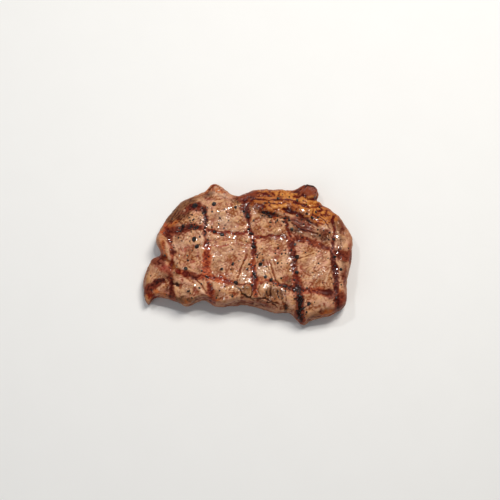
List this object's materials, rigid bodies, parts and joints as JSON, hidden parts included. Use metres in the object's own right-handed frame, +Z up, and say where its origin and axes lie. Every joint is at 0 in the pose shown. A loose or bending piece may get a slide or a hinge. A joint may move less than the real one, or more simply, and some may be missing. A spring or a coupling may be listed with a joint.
{
  "type": "grilled beef steak",
  "caption": "Thick boneless grilled beef steak with a golden fat cap, crossed grill marks and cracked black pepper on its browned top.",
  "frame": {"origin": "middle of the bounding box in plan, on the surface that the underside rests on", "axes": "+X along the length, towards the squarer end; +Y towards the edge with the fat cap; +Z up, through the thickness"},
  "size_m": [0.1414, 0.098, 0.0231],
  "materials": {
    "meat": "moist browned crust, satin to glossy",
    "pepper": "cracked black grain, satin",
    "fat": "melted golden fat, glossy"
  },
  "bodies": {
    "root": {"steak": "meat"}
  },
  "joints": []
}
